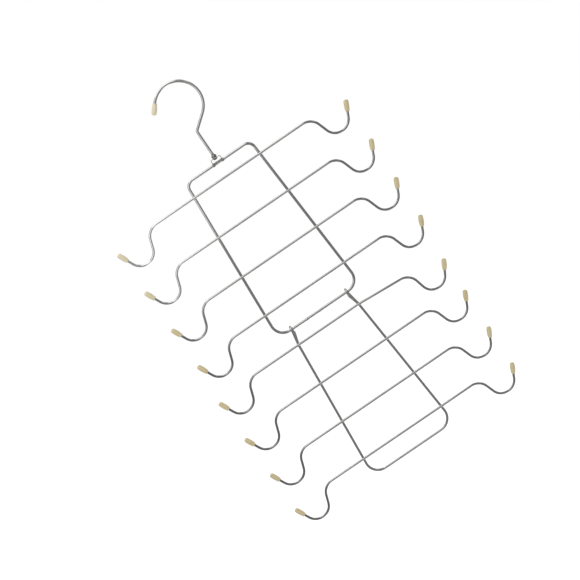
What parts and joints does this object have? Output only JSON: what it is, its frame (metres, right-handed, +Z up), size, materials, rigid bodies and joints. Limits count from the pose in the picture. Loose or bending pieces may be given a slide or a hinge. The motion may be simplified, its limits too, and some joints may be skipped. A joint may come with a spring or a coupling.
{
  "type": "folding drying hanger",
  "caption": "Flat wire drying hanger: a swivel hook carries two hinged frames of crossbars whose capped, upturned arms hold small garments.",
  "frame": {"origin": "on the inside of the hook's crown, where the top of a rail bears, on the swivel axis", "axes": "+Z up along the hook's shank, +X along the crossbars to the right seen from the front, -Y to the front"},
  "size_m": [0.2833, 0.0133, 0.4676],
  "materials": {
    "hook_wire": "bright plated steel wire",
    "frame_wire": "bright plated steel wire, spot welded",
    "bar_wire": "bright plated steel wire, spot welded",
    "saddle_sheet": "bright plated steel strip",
    "cream_vinyl": "soft satin vinyl"
  },
  "bodies": {
    "hook": {"hook": "hook_wire", "hook_cap": "cream_vinyl"},
    "upper": {"saddle": "saddle_sheet", "upper_frame": "frame_wire", "crossbar_1": "bar_wire", "crossbar_2": "bar_wire", "crossbar_3": "bar_wire", "crossbar_4": "bar_wire", "cap_1_left": "cream_vinyl", "cap_1_right": "cream_vinyl", "cap_2_left": "cream_vinyl", "cap_2_right": "cream_vinyl", "cap_3_left": "cream_vinyl", "cap_3_right": "cream_vinyl", "cap_4_left": "cream_vinyl", "cap_4_right": "cream_vinyl"},
    "lower": {"lower_frame": "frame_wire", "crossbar_5": "bar_wire", "crossbar_6": "bar_wire", "crossbar_7": "bar_wire", "crossbar_8": "bar_wire", "cap_5_left": "cream_vinyl", "cap_5_right": "cream_vinyl", "cap_6_left": "cream_vinyl", "cap_6_right": "cream_vinyl", "cap_7_left": "cream_vinyl", "cap_7_right": "cream_vinyl", "cap_8_left": "cream_vinyl", "cap_8_right": "cream_vinyl"}
  },
  "joints": [
    {"name": "hook_swivel", "type": "hinge", "parent": "hook", "child": "upper", "pos_m": [0, 0, -0.0851], "axis": [0, 0, 1], "continuous": true},
    {"name": "frame_fold", "type": "hinge", "parent": "upper", "child": "lower", "pos_m": [0, 0, -0.2762], "axis": [1, 0, 0], "range_deg": [-144, 178]}
  ]
}
